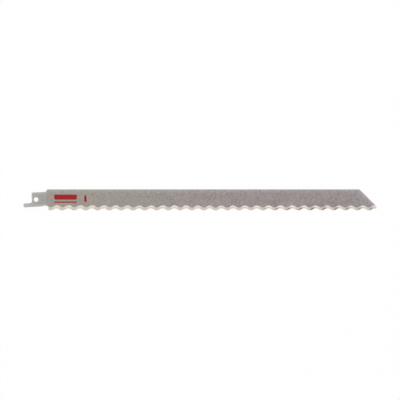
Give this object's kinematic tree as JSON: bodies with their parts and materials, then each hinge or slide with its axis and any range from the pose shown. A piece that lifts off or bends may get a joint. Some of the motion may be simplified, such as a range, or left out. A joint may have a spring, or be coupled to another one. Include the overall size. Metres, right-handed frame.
{
  "type": "reciprocating saw blade",
  "caption": "Long straight toothless saw blade with a wavy, double-ground knife edge, a slanted front and a tilted shank with a tang and a pin hole.",
  "frame": {"origin": "on the axis of the shank's pin hole, at mid thickness", "axes": "+X along the straight back, from the shank to the nose; +Y across the blade, towards the straight back; +Z out of one flat face"},
  "size_m": [0.3051, 0.0181, 0.0012],
  "materials": {
    "blade_steel": "fine blasted spring steel, with a brighter ground band along the wavy edge",
    "print_ink": "thin flat red printing ink"
  },
  "bodies": {
    "root": {"saw_blade": "blade_steel"}
  },
  "joints": []
}
